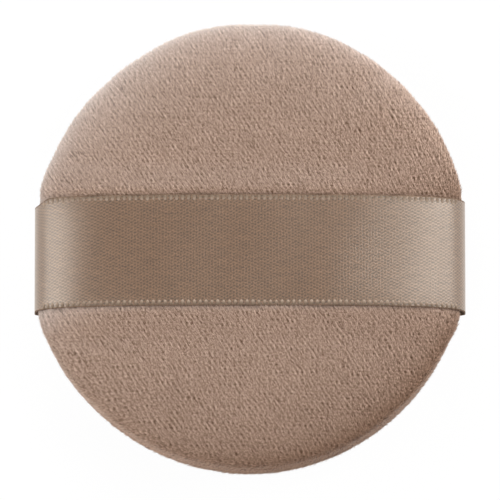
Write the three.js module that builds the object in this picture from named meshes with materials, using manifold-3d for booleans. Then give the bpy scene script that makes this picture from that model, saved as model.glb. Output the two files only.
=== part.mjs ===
// Powder puff: two velour covers sewn together round the rim over a padded filling, with a satin
// ribbon strap caught in the seam at both sides and arching over the back for the fingers.
// Millimetres, +Z up. The puff lies on its powdering face, +X runs along the ribbon, +Y across it.
// Pieces are built about the seam, so z = 0 in the code below is the seam's own plane.
import * as THREE from "three";
import { mergeVertices } from "three/addons/utils/BufferGeometryUtils.js";
import Module from "manifold-3d";

const wasm = await Module();
wasm.setup();

// Covers
const puffDiameter = 78.6; // over the velour's ground cloth, before the ribbon draws it
const velourThickness = 1.4;
const domeFullness = 3.2; // exponent of the dome's curve, 2 being an ellipse
const seamFoldRadius = 0.8; // inside radius where the cloth turns in at the seam
const seamAllowance = 5;
const restDiameter = 36; // flat that the puff lies on
const ribbonDraw = 0.5; // each side comes in by this along X and goes out by it along Y
const tuckDepth = 0.8; // how far the rim is drawn in behind the ribbon
const tuckMargin = 1.5; // how far past the ribbon's edges the tuck reaches

// Filling
const foamThickness = 7;
const foamChamfer = 1;
const faceWadding = 3.5;
const backWadding = 5.5;

// Ribbon strap
const ribbonWidth = 20;
const ribbonThickness = 0.4;
const ribbonShift = -1.8; // the ribbon is sewn in a little off the middle, towards -Y
const fingerGap = 4.4; // from the back's crown to the ribbon's underside
const tailTrim = 1.2; // the ribbon's ends stop this far short of the allowance's edge

// Seam threads
const threadDiameter = 0.5;
const stitchLength = 5.6;
const handStitchLength = 4;
const turningLength = 22.4; // stretch left open to turn the puff, then closed by hand
const stitchInset = 1.2; // from the fold to the stitch line
const stitchSteepness = 3; // how squarely the thread turns at a needle hole

// Clearances
const clearance = 0.3;
const slotClearance = 0.2;

// Facets
const aroundSteps = 32;
const domeSteps = 8;
const liningSteps = 6;
const foldSteps = 3;
const strapSteps = 20;
const stitchSteps = 6;
const threadSides = 5;
const holeSides = 4;
const mergeTolerance = 1e-4;

// Sizes that follow from those above
const puffRadius = puffDiameter / 2;
const restRadius = restDiameter / 2;
const rimRoll = velourThickness + seamFoldRadius;
const foldRadius = puffRadius - rimRoll;
const liningRadius = puffRadius - velourThickness;
const allowanceRadius = foldRadius - seamAllowance;
const allowanceInner = clearance / 2;
const allowanceOuter = allowanceInner + velourThickness;
const foldMiddle = allowanceInner + rimRoll;
const foamHalf = foamThickness / 2;
const foamRadius = allowanceRadius - clearance;
const backCrown = foamHalf + backWadding + 2 * clearance + velourThickness;
const faceCrown = foamHalf + faceWadding + 2 * clearance + velourThickness;
const stitchRadius = foldRadius - stitchInset;
const stitchReach = allowanceOuter + clearance + threadDiameter / 2;
const seamTop = stitchReach + threadDiameter / 2;
const tuckReach = ribbonWidth / 2 + tuckMargin;

const materials = {
  velour: { color: 0xa38979, roughness: 0.95, metalness: 0 },
  satin: { color: 0x8a7260, roughness: 0.4, metalness: 0 },
  foam: { color: 0xe6dcc4, roughness: 0.9, metalness: 0 },
  wadding: { color: 0xf2efe8, roughness: 1, metalness: 0 },
  thread: { color: 0x8f7767, roughness: 0.6, metalness: 0 },
};

// Where a point of the round pad lies once the ribbon has drawn the sides in.
function drawn(x, y) {
  const share = Math.hypot(x, y) / puffRadius;
  const across = Math.max(0, 1 - ((y - ribbonShift) / tuckReach) ** 2);
  const tuck = tuckDepth * across * share ** 3;
  return [
    x * (1 - (ribbonDraw + tuck) / puffRadius),
    y * (1 + ribbonDraw / puffRadius),
  ];
}

// Points down a dome from its crown, or from the edge of its flat top, to where the fold starts.
function domeCurve(flatRadius, footRadius, crown, steps, foot = foldMiddle) {
  const power = 2 / domeFullness;
  const points = [];
  for (let i = 0; i <= steps; i += 1) {
    const turn = (Math.PI / 2) * (i / steps);
    points.push(
      new THREE.Vector2(
        flatRadius + (footRadius - flatRadius) * Math.sin(turn) ** power,
        foot + (crown - foot) * Math.max(0, Math.cos(turn)) ** power,
      ),
    );
  }
  return points;
}

// Points round the fold where a cover turns in at the seam, from the rim to the flat allowance.
function foldCurve(radius) {
  const points = [];
  for (let i = 1; i <= foldSteps; i += 1) {
    const turn = (Math.PI / 2) * (i / foldSteps);
    points.push(
      new THREE.Vector2(
        foldRadius + radius * Math.cos(turn),
        foldMiddle - radius * Math.sin(turn),
      ),
    );
  }
  return points;
}

// A closed solid of revolution, drawn in at the ribbon. Profiles run from the top of the axis down.
function padSolid(profile, upward) {
  const geometry = new THREE.LatheGeometry([...profile].reverse(), aroundSteps);
  geometry.rotateX(upward ? Math.PI / 2 : -Math.PI / 2);
  const position = geometry.attributes.position;
  for (let i = 0; i < position.count; i += 1) {
    position.setXY(i, ...drawn(position.getX(i), position.getY(i)));
  }
  return solidOf(geometry);
}

function solidOf(geometry) {
  const bare = geometry.clone();
  bare.deleteAttribute("normal");
  bare.deleteAttribute("uv");
  const merged = mergeVertices(bare, mergeTolerance);
  return new wasm.Manifold(
    new wasm.Mesh({
      numProp: 3,
      vertProperties: merged.attributes.position.array,
      triVerts: new Uint32Array(merged.index.array),
    }),
  );
}

function meshOf(name, solid, material) {
  const { vertProperties, triVerts } = solid.getMesh();
  const geometry = new THREE.BufferGeometry();
  geometry.setAttribute("position", new THREE.BufferAttribute(vertProperties, 3));
  geometry.setIndex(new THREE.BufferAttribute(triVerts, 1));
  geometry.computeVertexNormals();
  const mesh = new THREE.Mesh(geometry, new THREE.MeshStandardMaterial(material));
  mesh.name = name;
  return mesh;
}

// Cover: a velour dome whose edge turns in at the rim and runs inwards as the seam allowance.
function coverSolid(crown, flatRadius, upward) {
  const outside = domeCurve(flatRadius, puffRadius, crown, domeSteps);
  const lining = domeCurve(flatRadius, liningRadius, crown - velourThickness, liningSteps);
  const profile = [
    ...outside,
    ...foldCurve(rimRoll),
    new THREE.Vector2(allowanceRadius, allowanceInner),
    new THREE.Vector2(allowanceRadius, allowanceOuter),
    ...foldCurve(seamFoldRadius).reverse(),
    ...lining.reverse(),
  ];
  return padSolid(closedOnAxis(profile), upward);
}

// Adds the points on the axis that a profile with a flat top starts and ends on.
function closedOnAxis(profile) {
  const first = profile[0];
  const last = profile.at(-1);
  const closed = [...profile];
  if (first.x > 0) {
    closed.unshift(new THREE.Vector2(0, first.y));
  }
  if (last.x > 0) {
    closed.push(new THREE.Vector2(0, last.y));
  }
  return closed;
}

// Foam core: a round slab with chamfered edges, which fits inside the seam allowances.
function foamSolid() {
  const profile = [
    new THREE.Vector2(0, foamHalf),
    new THREE.Vector2(foamRadius - foamChamfer, foamHalf),
    new THREE.Vector2(foamRadius, foamHalf - foamChamfer),
    new THREE.Vector2(foamRadius, foamChamfer - foamHalf),
    new THREE.Vector2(foamRadius - foamChamfer, -foamHalf),
    new THREE.Vector2(0, -foamHalf),
  ];
  return padSolid(profile, true);
}

// The part of a falling curve above a height, ending at that height.
function cutAtHeight(points, height) {
  const kept = points.filter((point) => point.y > height);
  const last = kept.at(-1);
  const next = points[kept.length];
  const share = (last.y - height) / (last.y - next.y);
  return [...kept, last.clone().lerp(next, share)];
}

// Wadding: fills a cover from the foam up to the cloth, and passes over the seam.
function waddingSolid(crown, flatRadius, upward) {
  const underside = foamHalf + clearance;
  const rimHeight = Math.max(underside, seamTop + clearance);
  const top = crown - velourThickness - clearance;
  const outside = domeCurve(flatRadius, liningRadius - clearance, top, liningSteps);
  const profile = [
    ...cutAtHeight(outside, rimHeight),
    new THREE.Vector2(foamRadius, underside),
    new THREE.Vector2(0, underside),
  ];
  return padSolid(closedOnAxis(profile), upward);
}

// Middle line of the strap, from the end of one tail over the back to the end of the other.
function strapLine() {
  const rim = puffRadius - ribbonDraw - tuckDepth;
  const reach = rim + clearance + ribbonThickness / 2;
  const turnStart = rim - rimRoll;
  const crest = backCrown + fingerGap + ribbonThickness / 2;
  const tailEnd = turnStart - (seamAllowance - tailTrim);
  const half = [new THREE.Vector2(tailEnd, 0), new THREE.Vector2(turnStart, 0)];
  for (let i = 1; i < 2 * foldSteps; i += 1) {
    const turn = (Math.PI / 2) * (i / (2 * foldSteps));
    half.push(
      new THREE.Vector2(
        turnStart + (reach - turnStart) * Math.sin(turn),
        rimRoll * (1 - Math.cos(turn)),
      ),
    );
  }
  half.push(...domeCurve(0, reach, crest, strapSteps, rimRoll).reverse());
  const other = half.slice(0, -1).reverse();
  return [...half, ...other.map((point) => new THREE.Vector2(-point.x, point.y))];
}

// A band of even thickness along the strap's middle line.
function strapBand(thickness, width) {
  const line = strapLine();
  const sides = line.map((point, i) => {
    const before = line[Math.max(0, i - 1)];
    const after = line[Math.min(line.length - 1, i + 1)];
    const along = after.clone().sub(before).normalize();
    return new THREE.Vector2(-along.y, along.x).multiplyScalar(thickness / 2);
  });
  const outline = [
    ...line.map((point, i) => point.clone().add(sides[i])),
    ...line.map((point, i) => point.clone().sub(sides[i])).reverse(),
  ];
  const geometry = new THREE.ExtrudeGeometry(new THREE.Shape(outline), {
    depth: width,
    bevelEnabled: false,
  });
  geometry.rotateX(Math.PI / 2);
  geometry.translate(0, ribbonShift + width / 2, 0);
  return solidOf(geometry);
}

// One thread running round the stitch line, over the allowances and under them in turn.
class RunningStitch extends THREE.Curve {
  constructor(startAngle, stitchAngle, stitches) {
    super();
    this.startAngle = startAngle;
    this.stitchAngle = stitchAngle;
    this.stitches = stitches;
  }

  getPoint(t, target = new THREE.Vector3()) {
    const along = t * this.stitches;
    const stitch = Math.min(Math.floor(along), this.stitches - 1);
    const part = along - stitch;
    const eased = part - Math.sin(2 * Math.PI * part) / (2 * Math.PI);
    const angle = this.startAngle + (stitch + eased) * this.stitchAngle;
    const height = Math.tanh(stitchSteepness * Math.sin(Math.PI * part)) / Math.tanh(stitchSteepness);
    const side = stitch % 2 === 0 ? 1 : -1;
    return target.set(...seamPoint(angle), side * stitchReach * height);
  }

  // Every stitch takes an equal share of the curve, so that each has the same facets.
  getPointAt(u, target) {
    return this.getPoint(u, target);
  }

  getTangentAt(u, target) {
    return this.getTangent(u, target);
  }
}

function seamPoint(angle) {
  return drawn(stitchRadius * Math.cos(angle), stitchRadius * Math.sin(angle));
}

function threadSolid(seam) {
  const section = [];
  for (let i = 0; i < threadSides; i += 1) {
    const turn = (2 * Math.PI * i) / threadSides;
    section.push(new THREE.Vector2(Math.cos(turn), Math.sin(turn)).multiplyScalar(threadDiameter / 2));
  }
  const path = new RunningStitch(seam.startAngle, seam.stitchAngle, seam.stitches);
  const geometry = new THREE.ExtrudeGeometry(new THREE.Shape(section), {
    steps: seam.stitches * stitchSteps,
    bevelEnabled: false,
    extrudePath: path,
  });
  return solidOf(geometry);
}

// Needle holes of a seam, one at each end of every stitch, with flats that clear the thread.
function needleHoles(seam) {
  const radius = (threadDiameter / 2 + slotClearance) / Math.cos(Math.PI / holeSides);
  const holes = [];
  for (let i = 0; i <= seam.stitches; i += 1) {
    const [x, y] = seamPoint(seam.startAngle + i * seam.stitchAngle);
    const geometry = new THREE.CylinderGeometry(radius, radius, 2 * seamTop, holeSides);
    geometry.rotateX(Math.PI / 2);
    geometry.translate(x, y, 0);
    holes.push(solidOf(geometry));
  }
  return holes;
}

// The machine seam runs round from one end of the turning opening to the other. The hand seam closes
// the opening, at the side away from +Y.
const openAngle = turningLength / stitchRadius;
const seamAngle = 2 * Math.PI - openAngle;
const machineStitches = Math.round((seamAngle * stitchRadius) / stitchLength);
const machineAngle = seamAngle / machineStitches;
const handStitches = Math.round(turningLength / handStitchLength);
const handAngle = openAngle / handStitches;
const machineSeam = {
  startAngle: -Math.PI / 2 + openAngle / 2,
  stitchAngle: machineAngle,
  stitches: machineStitches,
};
const handSeam = {
  startAngle: -Math.PI / 2 - openAngle / 2 + handAngle / 2,
  stitchAngle: handAngle,
  stitches: handStitches - 1,
};

const holes = wasm.Manifold.union([...needleHoles(machineSeam), ...needleHoles(handSeam)]);
const strapSlot = strapBand(ribbonThickness + 2 * slotClearance, ribbonWidth + 2 * slotClearance);
const cuts = holes.add(strapSlot);

const seamGroup = new THREE.Group();
seamGroup.position.z = faceCrown;
seamGroup.add(
  meshOf("face_cover", coverSolid(faceCrown, restRadius, false).subtract(cuts), materials.velour),
  meshOf("back_cover", coverSolid(backCrown, 0, true).subtract(cuts), materials.velour),
  meshOf("foam_core", foamSolid(), materials.foam),
  meshOf("face_wadding", waddingSolid(faceCrown, restRadius, false), materials.wadding),
  meshOf("back_wadding", waddingSolid(backCrown, 0, true), materials.wadding),
  meshOf("ribbon_strap", strapBand(ribbonThickness, ribbonWidth).subtract(holes), materials.satin),
  meshOf("rim_seam_thread", threadSolid(machineSeam), materials.thread),
  meshOf("closing_thread", threadSolid(handSeam), materials.thread),
);

const puff = new THREE.Group();
puff.name = "powder_puff";
puff.add(seamGroup);

export default puff;
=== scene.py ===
import math

import bpy
import numpy as np
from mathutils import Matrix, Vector


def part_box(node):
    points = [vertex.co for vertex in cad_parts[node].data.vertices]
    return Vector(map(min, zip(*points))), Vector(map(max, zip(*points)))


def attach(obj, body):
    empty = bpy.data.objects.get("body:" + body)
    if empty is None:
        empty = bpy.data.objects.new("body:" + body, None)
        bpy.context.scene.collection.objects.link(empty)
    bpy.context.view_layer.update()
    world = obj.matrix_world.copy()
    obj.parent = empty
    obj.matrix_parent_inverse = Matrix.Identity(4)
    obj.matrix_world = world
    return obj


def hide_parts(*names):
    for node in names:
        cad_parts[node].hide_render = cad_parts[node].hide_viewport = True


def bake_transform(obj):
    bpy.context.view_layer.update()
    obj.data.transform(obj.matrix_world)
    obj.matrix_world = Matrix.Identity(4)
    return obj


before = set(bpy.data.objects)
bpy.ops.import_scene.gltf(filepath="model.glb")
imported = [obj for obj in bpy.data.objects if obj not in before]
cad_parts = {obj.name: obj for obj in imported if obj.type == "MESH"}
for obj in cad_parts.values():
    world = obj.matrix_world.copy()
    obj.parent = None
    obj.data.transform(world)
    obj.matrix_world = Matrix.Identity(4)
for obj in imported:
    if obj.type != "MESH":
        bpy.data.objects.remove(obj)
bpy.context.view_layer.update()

# The frame: metres, +Z up, +X along the ribbon, +Y across it
backLow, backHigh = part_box("back_cover")
faceLow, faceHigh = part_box("face_cover")
strapLow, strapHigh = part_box("ribbon_strap")
seamZ = (backLow.z + faceHigh.z) / 2
seamGap = (backLow.z - faceHigh.z) / 2

pad = {
    "backFullness": 4.5,  # exponents of the swollen domes' curves
    "tiedFullness": 3.4,  # of the back's, where the ribbon's ends hold it down
    "faceFullness": 3.2,
    "ribbonDraw": 0.0005,  # how far the ribbon draws the round pad in
    "tuckDepth": 0.0008,  # and how much farther at its ends
    "tuckMargin": 0.0015,
    "dents": (  # degrees round the rim, spread and depth, which is negative for a bulge
        (17, 10, 0.0002),
        (90, 14, 0.0003),
        (132, 28, 0.0009),
        (166, 12, 0.0005),
        (207, 20, -0.0005),
    ),
    "rimRoll": 0.0022,
    "velour": 0.0014,
    "allowance": 0.005,
    "restRadius": 0.018,
    "restLift": 0.0009,  # the ground cloth stands this far off the table, on its pile
    "slotLift": 0.0002,  # room for the ribbon's tails between the allowances
    "ringsDown": 46,
    "stepsAround": 132,
}
puffRadius = backHigh.y - pad["ribbonDraw"]
backCrown = backHigh.z - seamZ
faceCrown = seamZ - faceLow.z
strapHalf = (strapHigh.y - strapLow.y) / 2
strapMid = (strapHigh.y + strapLow.y) / 2


def addNode(tree, kind, values=None, **settings):
    node = tree.nodes.new(kind)
    for name, value in settings.items():
        setattr(node, name, value)
    for socket, value in (values or {}).items():
        if isinstance(value, bpy.types.NodeSocket):
            tree.links.new(value, node.inputs[socket])
        else:
            node.inputs[socket].default_value = value
    return node


def addMath(tree, operation, *values, clamp=False):
    node = addNode(tree, "ShaderNodeMath", dict(enumerate(values)), operation=operation, use_clamp=clamp)
    return node.outputs[0]


def addVector(tree, operation, *values):
    node = addNode(tree, "ShaderNodeVectorMath", dict(enumerate(values)), operation=operation)
    return node.outputs["Value" if operation == "DOT_PRODUCT" else "Vector"]


def addScale(tree, vector, scale):
    node = addNode(tree, "ShaderNodeVectorMath", {0: vector, "Scale": scale}, operation="SCALE")
    return node.outputs[0]


def addNoise(tree, place, scale, detail):
    return addNode(tree, "ShaderNodeTexNoise", {"Vector": place, "Scale": scale, "Detail": detail})


def mapRange(tree, value, low, high, toLow=0.0, toHigh=1.0):
    sockets = {"Value": value, 1: low, 2: high, 3: toLow, 4: toHigh}
    return addNode(tree, "ShaderNodeMapRange", sockets).outputs[0]


def addBump(tree, height, strength, distance):
    sockets = {"Height": height, "Strength": strength, "Distance": distance}
    return addNode(tree, "ShaderNodeBump", sockets).outputs[0]


def mixColor(tree, share, first, second, blend="MIX"):
    node = addNode(tree, "ShaderNodeMix", {0: share, 6: first, 7: second}, data_type="RGBA", blend_type=blend)
    return node.outputs[2]


def addWaves(tree, column, row, waves):
    # a sum of even waves, each of them given by its turns per column and per row and its share
    total = 0.0
    for columns, rows, share in waves:
        turns = addMath(tree, "MULTIPLY_ADD", row, rows, addMath(tree, "MULTIPLY", column, columns))
        wave = addMath(tree, "COSINE", addMath(tree, "MULTIPLY", turns, 2 * math.pi))
        total = addMath(tree, "MULTIPLY_ADD", wave, share, total)
    return total


def newGroup(name, kind, inputs, outputs):
    tree = bpy.data.node_groups.new(name, kind)
    for label, socket, value in inputs:
        made = tree.interface.new_socket(label, in_out="INPUT", socket_type=socket)
        if value is not None:
            made.default_value = value
    for label, socket in outputs:
        tree.interface.new_socket(label, in_out="OUTPUT", socket_type=socket)
    return tree, tree.nodes.new("NodeGroupInput"), tree.nodes.new("NodeGroupOutput")


def newMaterial(name, **constants):
    material = bpy.data.materials.new(name)
    material.use_nodes = True
    tree = material.node_tree
    shader = tree.nodes["Principled BSDF"]
    for socket, value in constants.items():
        shader.inputs[socket].default_value = value
    return material, tree, shader


def placeObject(name, data):
    thing = bpy.data.objects.new(name, data)
    bpy.context.scene.collection.objects.link(thing)
    return thing


def newMesh(name, points, faces, smooth=True):
    mesh = bpy.data.meshes.new(name)
    mesh.from_pydata([tuple(p) for p in points], [], faces)
    mesh.polygons.foreach_set("use_smooth", [smooth] * len(mesh.polygons))
    mesh.update()
    return placeObject(name, mesh)


def plainMesh(thing, name):
    # what the modifiers give, as a mesh of its own
    bpy.context.view_layer.update()
    shown = thing.evaluated_get(bpy.context.evaluated_depsgraph_get())
    mesh = bpy.data.meshes.new_from_object(shown)
    mesh.name = name
    bpy.data.objects.remove(thing)
    return placeObject(name, mesh)


def pointsOf(mesh):
    flat = np.empty(len(mesh.vertices) * 3, np.float32)
    mesh.vertices.foreach_get("co", flat)
    return flat.reshape(-1, 3).astype(float)


def normalsOf(mesh):
    flat = np.empty(len(mesh.vertices) * 3, np.float32)
    mesh.vertex_normals.foreach_get("vector", flat)
    return flat.reshape(-1, 3).astype(float)


def addAttribute(mesh, name, values):
    made = mesh.attributes.new(name, "FLOAT_VECTOR" if values.ndim > 1 else "FLOAT", "POINT")
    made.data.foreach_set("vector" if values.ndim > 1 else "value", values.astype(np.float32).ravel())


def setCloth(mesh, texture):
    # the piece's own cloth map, from a place for each of its points
    cloth = mesh.uv_layers.new(name="cloth")
    corners = np.empty(len(mesh.loops), np.int32)
    mesh.loops.foreach_get("vertex_index", corners)
    cloth.data.foreach_set("uv", texture[corners].astype(np.float32).ravel())


def ringFaces(around, rings, last=None):
    # faces of a round sheet with its first point in the middle, closed below by a last point
    faces = []
    for step in range(around):
        after = (step + 1) % around
        faces.append((0, 1 + step, 1 + after))
        for ring in range(rings - 1):
            upper, lower = 1 + ring * around, 1 + (ring + 1) * around
            faces.append((upper + step, lower + step, lower + after, upper + after))
        if last is not None:
            bottom = 1 + (rings - 1) * around
            faces.append((bottom + step, last, bottom + after))
    return faces


def smoothStep(values, low, high):
    t = np.clip((values - low) / (high - low), 0, 1)
    return t * t * (3 - 2 * t)


def evenSteps(line, count):
    # count points spread evenly along a line of points
    line = np.array(line, float)
    along = np.concatenate([[0], np.cumsum(np.linalg.norm(np.diff(line, axis=0), axis=1))])
    wanted = np.linspace(0, along[-1], count)
    return np.stack([np.interp(wanted, along, line[:, k]) for k in range(line.shape[1])], axis=1), wanted


def pastRibbon(points):
    # how far a point lies beyond the ribbon's nearer edge, and less than 0 under the ribbon
    return np.abs(points[:, 1] - strapMid) - strapHalf


def drawn(flat):
    # the ribbon draws the round pad in along X, most of all where it is sewn in
    x, y = flat[:, 0], flat[:, 1]
    across = np.clip(1 - ((y - strapMid) / (strapHalf + pad["tuckMargin"])) ** 2, 0, 1)
    share = np.hypot(x, y) / puffRadius
    tuck = pad["tuckDepth"] * across * share**3
    pressed = np.ones(len(flat))
    for middle, spread, depth in pad["dents"]:
        away = np.angle(np.exp(1j * (np.arctan2(y, x) - math.radians(middle)))) / math.radians(spread)
        pressed -= depth / puffRadius * np.exp(-(away**2)) * share**2
    return np.stack(
        [
            x * pressed * (1 - (pad["ribbonDraw"] + tuck) / puffRadius),
            y * pressed * (1 + pad["ribbonDraw"] / puffRadius),
        ],
        axis=1,
    )


# Colours and textures of the velour
velour = {
    "light": (0.68, 0.497, 0.396, 1),
    "dark": (0.12, 0.066, 0.038, 1),
    "gapShade": 0.03,  # share of the tufts darkened as painted shade, standing in for shadowed gaps in the pile
    "gapShadeTone": 0.1,
    "napTurn": math.radians(30),  # the nap's lean, from +Y towards -X
    "columnPitch": 0.00091,  # of the knitted ground, whose loops part the pile into creases
    "rowPitch": 0.00127,
    "knitTurn": math.radians(2),
    # the creases darken the colour as painted shade in the pile's partings, and also give the ground's bump
    "creases": (  # turns per column, turns per row and share of each wave
        (1.0, 1.0, -0.16),
        (1.0, 0.0, -0.075),
        (0.0, 2.0, -0.06),
        (0.0, 1.0, -0.015),
        (1.0, -1.0, -0.035),
    ),
    "uneven": 0.0022,  # size of the places where the creases are stronger or weaker
    "unevenShare": (0.1, 1.9),
    "tuftReach": 0.0008,  # of a tuft along the cloth
    "fibre": 0.00027,
    "fibreShare": 1.8,
    "wander": 0.0012,
    "wanderScale": 160.0,
    "patchSize": 0.016,
    "patchShare": 0.12,
    "tuftShare": 0.3,
    "toneShift": -0.44,
    # painted shade at the tufts' roots, deep in the pile, and painted light at their tips
    "paintedRootShade": 0.35,
    "paintedTipLight": 1.1,
    "paintedSheen": (0.85, 0.83, 0.82, 1),  # painted sheen: a pale colour mixed in where the cloth faces along the nap's way, strongest on the upper rim
    "paintedSheenShare": 0.36,
    "paintedShade": (0.72, 0.6, 0.5, 1),  # painted shade: the colour is multiplied darker where the cloth faces against the nap's way, most on the lower rim
    "paintedShadeShare": 1.0,
}
napWay = np.array([-math.sin(velour["napTurn"]), math.cos(velour["napTurn"]), 0.0])
napOnCloth = velour["napTurn"] + velour["knitTurn"]


def makeNapGroup():
    tree, given, result = newGroup(
        "velourNap",
        "ShaderNodeTree",
        [
            ("Light", "NodeSocketColor", velour["light"]),
            ("Dark", "NodeSocketColor", velour["dark"]),
            ("Tuft Tone", "NodeSocketFloat", 0.5),
            ("Tuft Tip", "NodeSocketFloat", 0.5),
            ("Place", "NodeSocketVector", (0, 0, 0)),
            ("Column Pitch", "NodeSocketFloat", velour["columnPitch"]),
            ("Row Pitch", "NodeSocketFloat", velour["rowPitch"]),
            ("Wander", "NodeSocketFloat", velour["wander"]),
            ("Uneven", "NodeSocketFloat", velour["uneven"]),
            ("Fibre", "NodeSocketFloat", velour["fibre"]),
            ("Tuft Reach", "NodeSocketFloat", velour["tuftReach"]),
            ("Patch Size", "NodeSocketFloat", velour["patchSize"]),
            ("Gap Shade", "NodeSocketFloat", velour["gapShade"]),
            ("Lean", "NodeSocketFloat", 0.0),
            ("Painted Sheen", "NodeSocketColor", velour["paintedSheen"]),
            ("Painted Sheen Share", "NodeSocketFloat", velour["paintedSheenShare"]),
            ("Painted Shade", "NodeSocketColor", velour["paintedShade"]),
            ("Painted Shade Share", "NodeSocketFloat", velour["paintedShadeShare"]),
        ],
        [("Color", "NodeSocketColor"), ("Height", "NodeSocketFloat")],
    )
    reach = addMath(tree, "MULTIPLY", given.outputs["Tuft Tip"], given.outputs["Tuft Reach"])
    reach = addScale(tree, (-math.sin(napOnCloth), math.cos(napOnCloth), 0), reach)
    place = addVector(tree, "ADD", given.outputs["Place"], reach)
    patchScale = addMath(tree, "DIVIDE", 1.0, given.outputs["Patch Size"])
    patch = addNoise(tree, place, patchScale, 2.0)
    wander = addNoise(tree, place, velour["wanderScale"], 1.0)
    wander = addVector(tree, "SUBTRACT", wander.outputs["Color"], (0.5, 0.5, 0.5))
    wander = addScale(tree, wander, given.outputs["Wander"])
    parts = addNode(tree, "ShaderNodeSeparateXYZ", {0: addVector(tree, "ADD", place, wander)})
    column = addMath(tree, "DIVIDE", parts.outputs["X"], given.outputs["Column Pitch"])
    row = addMath(tree, "DIVIDE", parts.outputs["Y"], given.outputs["Row Pitch"])
    # creases: painted shade in the pile's partings, and the ground's bump height
    creases = addWaves(tree, column, row, velour["creases"])
    unevenScale = addMath(tree, "DIVIDE", 1.0, given.outputs["Uneven"])
    uneven = addNoise(tree, place, unevenScale, 1.0)
    uneven = mapRange(tree, uneven.outputs["Fac"], 0.3, 0.7, *velour["unevenShare"])
    creases = addMath(tree, "MULTIPLY", creases, uneven)
    fibreScale = addMath(tree, "DIVIDE", 1.0, given.outputs["Fibre"])
    fibre = addNoise(tree, place, fibreScale, 1.0)
    tone = addMath(
        tree, "MULTIPLY_ADD", given.outputs["Tuft Tone"], velour["tuftShare"], velour["toneShift"]
    )
    tone = addMath(tree, "MULTIPLY_ADD", fibre.outputs["Fac"], velour["fibreShare"], tone)
    tone = addMath(tree, "MULTIPLY_ADD", patch.outputs["Fac"], velour["patchShare"], tone)
    tone = addMath(tree, "ADD", tone, creases)
    # painted shade at the tufts' roots, running to painted light at their tips
    paintedTipLight = mapRange(
        tree, given.outputs["Tuft Tip"], 0.0, 1.0, velour["paintedRootShade"], velour["paintedTipLight"]
    )
    tone = addMath(tree, "MULTIPLY", tone, paintedTipLight)
    # painted shade: a few tufts are darkened to stand in for shadowed gaps in the pile
    plain = addMath(tree, "GREATER_THAN", given.outputs["Tuft Tone"], given.outputs["Gap Shade"])
    plain = mapRange(tree, plain, 0.0, 1.0, velour["gapShadeTone"], 1.0)
    tone = addMath(tree, "MULTIPLY", tone, plain, clamp=True)
    color = mixColor(tree, tone, given.outputs["Dark"], given.outputs["Light"])
    # painted shade: darker, deeper colour where the cloth faces against the nap's way, on the lower rim
    shadeAmount = addMath(tree, "MULTIPLY", given.outputs["Lean"], -1.0, clamp=True)
    shadeAmount = addMath(tree, "MULTIPLY", shadeAmount, given.outputs["Painted Shade Share"], clamp=True)
    color = mixColor(tree, shadeAmount, color, given.outputs["Painted Shade"], "MULTIPLY")
    # painted sheen: a pale colour mixed in where the cloth faces along the nap's way, on the upper rim
    away = addMath(tree, "MULTIPLY", given.outputs["Lean"], given.outputs["Painted Sheen Share"], clamp=True)
    color = mixColor(tree, away, color, given.outputs["Painted Sheen"])
    tree.links.new(color, result.inputs["Color"])
    tree.links.new(creases, result.inputs["Height"])
    return tree


napGroup = makeNapGroup()


def makeVelour(name, onTufts):
    material, tree, shader = newMaterial(
        name,
        **{
            "Roughness": 0.5,
            "Specular IOR Level": 0.12,
            "Sheen Weight": 0.12,
            "Sheen Roughness": 0.4,
            "Sheen Tint": (1, 0.98, 0.96, 1),
        },
    )
    nap = addNode(tree, "ShaderNodeGroup", node_tree=napGroup)
    # napLean sets where the painted sheen and painted shade fall on the rims
    lean = addNode(tree, "ShaderNodeAttribute", attribute_name="napLean")
    tree.links.new(lean.outputs["Fac"], nap.inputs["Lean"])
    place = addNode(tree, "ShaderNodeAttribute", attribute_name="clothPlace")
    tree.links.new(place.outputs["Vector"], nap.inputs["Place"])
    if onTufts:
        for attribute, socket in (("tuftTone", "Tuft Tone"), ("tuftTip", "Tuft Tip")):
            read = addNode(tree, "ShaderNodeAttribute", attribute_name=attribute)
            tree.links.new(read.outputs["Fac"], nap.inputs[socket])
    else:
        # painted shade: the ground cloth between the tufts is coloured as their shaded roots
        nap.inputs["Tuft Tip"].default_value = 0.1
        bump = addBump(tree, nap.outputs["Height"], 0.5, 0.0004)
        tree.links.new(bump, shader.inputs["Normal"])
    tree.links.new(nap.outputs["Color"], shader.inputs["Base Color"])
    return material


backPileFinish = makeVelour("back velour pile", True)
backGroundFinish = makeVelour("back velour ground", False)
facePileFinish = makeVelour("face velour pile", True)
faceGroundFinish = makeVelour("face velour ground", False)


# Ribbon: its middle line, as in the CAD solid, from the end of one tail to the end of the other
strapTurn = pad["rimRoll"]
strapRim = puffRadius - pad["ribbonDraw"] - pad["tuckDepth"]
strapThick = 0.0004
strapFullness = 3.2
strapReach = strapHigh.x - strapThick / 2
strapSettle = 0.0008  # the ribbon lies this much closer to the pile than the solid does
strapCrest = strapHigh.z - strapSettle - seamZ - strapThick / 2
strapTail = 0.0038
strapCup = 0.00025  # its edges bow down towards the pile over the back
strapFoot = 0.003  # height over the seam from which it bows and ripples


def strapMiddle(count):
    start = strapRim - strapTurn
    half = [(start - strapTail, 0.0), (start, 0.0)]
    for step in range(1, 40):
        turn = math.pi / 2 * step / 40
        half.append((start + (strapReach - start) * math.sin(turn), strapTurn * (1 - math.cos(turn))))
    power = 2 / strapFullness
    for step in range(240, -1, -1):
        turn = math.pi / 2 * step / 240
        half.append(
            (
                strapReach * math.sin(turn) ** power,
                strapTurn + (strapCrest - strapTurn) * max(math.cos(turn), 0) ** power,
            )
        )
    left = [(-x, z) for x, z in half]
    return evenSteps(left + half[-2::-1], count)


def strapBow(height, across):
    # how far the ribbon's edges hang below its middle, for across from -1 to 1
    return strapCup * smoothStep(height, strapFoot, strapCrest) * np.abs(across) ** 6


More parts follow.
